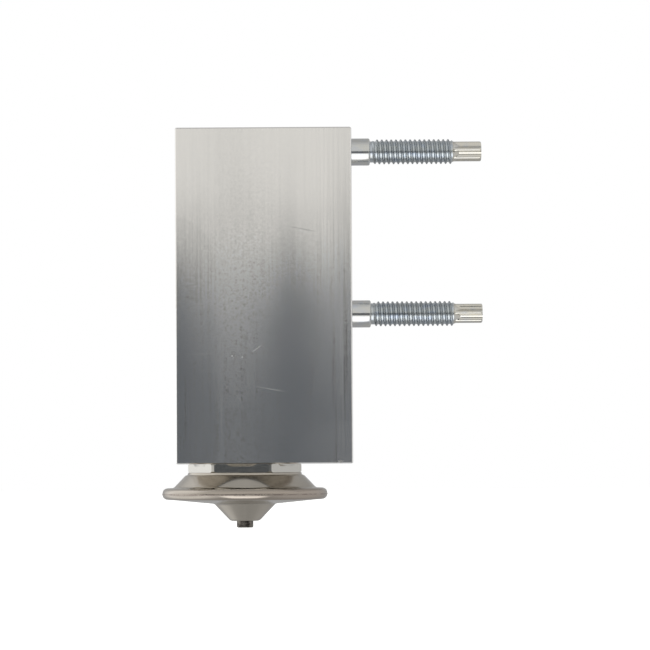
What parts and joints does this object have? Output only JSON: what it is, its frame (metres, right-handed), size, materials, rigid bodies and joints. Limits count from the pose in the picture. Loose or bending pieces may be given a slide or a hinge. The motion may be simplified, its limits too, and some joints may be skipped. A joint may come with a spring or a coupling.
{
  "type": "thermostatic expansion valve",
  "caption": "Block-type thermostatic expansion valve: drilled aluminium block with a diaphragm power head at one end and mounting studs on the line face.",
  "frame": {"origin": "on the axis of the suction port, 4 mm inside the evaporator face", "axes": "-X out of the evaporator face, +X along the studs, +Z along the stem axis from the power head towards the adjusting screw"},
  "size_m": [0.0708, 0.0364, 0.0872],
  "materials": {
    "block_aluminium": "extruded bar, satin with fine lengthwise draw lines",
    "head_nut": "turned and milled stainless steel",
    "head_shell": "pressed stainless steel, bright, heat-tinted at the weld",
    "plug_steel": "resistance-welded pin, darkened",
    "stem_steel": "ground stainless steel",
    "spring_steel": "drawn spring wire",
    "seat_brass": "machined brass",
    "seal_rubber": "moulded refrigerant-proof rubber",
    "stud_zinc": "rolled steel, bright blue zinc plating"
  },
  "bodies": {
    "block": {"valve_body": "block_aluminium", "power_head_mount": "head_nut", "housing_shell": "head_shell", "cover_shell": "head_shell", "diaphragm": "head_shell", "charge_plug": "plug_steel", "power_head_seal": "seal_rubber", "rod_seal": "seal_rubber", "rod_seal_retainer": "stem_steel", "damping_spring": "spring_steel", "valve_seat": "seat_brass", "valve_spring": "spring_steel", "upper_stud": "stud_zinc", "lower_stud": "stud_zinc"},
    "stem": {"diaphragm_stopper": "stem_steel", "sensing_rod": "stem_steel", "push_rod": "stem_steel", "valve_ball": "stem_steel", "ball_holder": "seat_brass"},
    "screw_seal": {"adjusting_screw_seal": "seal_rubber"},
    "screw": {"adjusting_screw": "seat_brass"}
  },
  "joints": [
    {"name": "stem_lift", "type": "slide", "parent": "block", "child": "stem", "axis": [0, 0, -1], "range_m": [0, 0.00075], "stiffness_N_per_m": 400, "springref_m": -0.001, "deforming": ["valve_spring", "diaphragm"]},
    {"name": "screw_travel", "type": "slide", "parent": "block", "child": "screw_seal", "axis": [0, 0, 1], "range_m": [-0.001, 0.001], "deforming": ["valve_spring"]},
    {"name": "screw_turn", "type": "hinge", "parent": "screw_seal", "child": "screw", "pos_m": [0.01057, 0, 0.048], "axis": [0, 0, 1], "range_deg": [-360, 360]}
  ],
  "couplings": [
    {"joint": "screw_turn", "follows": "screw_travel", "rad_per_m": 6283}
  ]
}
